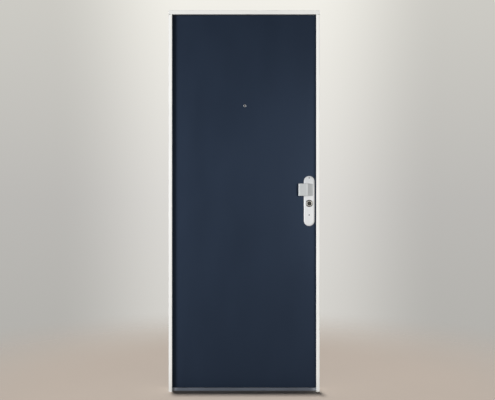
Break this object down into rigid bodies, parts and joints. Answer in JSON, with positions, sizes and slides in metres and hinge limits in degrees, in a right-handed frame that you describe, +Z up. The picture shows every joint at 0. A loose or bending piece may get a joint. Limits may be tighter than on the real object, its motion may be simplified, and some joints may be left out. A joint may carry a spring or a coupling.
{
  "type": "security door",
  "caption": "Inward-opening security door in a folded white steel frame: navy leaf on barrel hinges, escutcheon with fixed pull and lock cylinder, door viewer, metal threshold.",
  "frame": {"origin": "on the floor, middle of the threshold's underside, halfway through the frame's depth", "axes": "+X to the right and -Y towards the viewer, seen from the landing; +Z up; the leaf opens to +Y"},
  "size_m": [0.844, 0.157, 2.13],
  "materials": {
    "frame_white": "satin",
    "threshold_aluminium": "satin",
    "seal_rubber": "matte",
    "strike_steel": "satin",
    "hinge_steel": "satin",
    "panel_navy": "satin",
    "channel_steel": "satin",
    "core_board": "matte",
    "lock_steel": "satin",
    "bolt_steel": "satin",
    "escutcheon_silver": "satin",
    "guard_chrome": "polished",
    "cylinder_nickel": "satin",
    "lens_glass": "gloss"
  },
  "bodies": {
    "frame": {"left_jamb": "frame_white", "right_jamb": "frame_white", "head": "frame_white", "threshold": "threshold_aluminium", "left_seal": "seal_rubber", "right_seal": "seal_rubber", "head_seal": "seal_rubber", "threshold_seal": "seal_rubber", "latch_strike": "strike_steel", "upper_strike": "strike_steel", "lower_strike": "strike_steel", "hinge_1_frame_half": "hinge_steel", "hinge_2_frame_half": "hinge_steel", "hinge_3_frame_half": "hinge_steel", "hinge_4_frame_half": "hinge_steel"},
    "leaf": {"outer_panel": "panel_navy", "inner_panel": "panel_navy", "hinge_stile": "channel_steel", "lock_stile": "channel_steel", "top_rail": "channel_steel", "bottom_rail": "channel_steel", "core_infill": "core_board", "multipoint_lock": "lock_steel", "latch_bolt": "bolt_steel", "centre_bolts": "bolt_steel", "upper_bolt": "bolt_steel", "lower_bolt": "bolt_steel", "dog_bolts": "bolt_steel", "hinge_1_leaf_half": "hinge_steel", "hinge_2_leaf_half": "hinge_steel", "hinge_3_leaf_half": "hinge_steel", "hinge_4_leaf_half": "hinge_steel", "outer_escutcheon": "escutcheon_silver", "pull_fin": "escutcheon_silver", "cylinder_guard": "guard_chrome", "cylinder_body": "cylinder_nickel", "inner_escutcheon": "escutcheon_silver", "inner_lever": "escutcheon_silver", "thumbturn": "escutcheon_silver", "peephole_barrel": "guard_chrome", "peephole_lens": "lens_glass", "peephole_eyepiece": "guard_chrome"},
    "plug": {"cylinder_plug": "cylinder_nickel"}
  },
  "joints": [
    {"name": "leaf_hinge", "type": "hinge", "parent": "frame", "child": "leaf", "pos_m": [-0.413, 0.057, 1.06], "axis": [0, 0, 1], "range_deg": [0, 110]},
    {"name": "key_turn", "type": "hinge", "parent": "leaf", "child": "plug", "pos_m": [0.365, -0.031, 1.051], "axis": [0, -1, 0], "range_deg": [0, 360]}
  ]
}
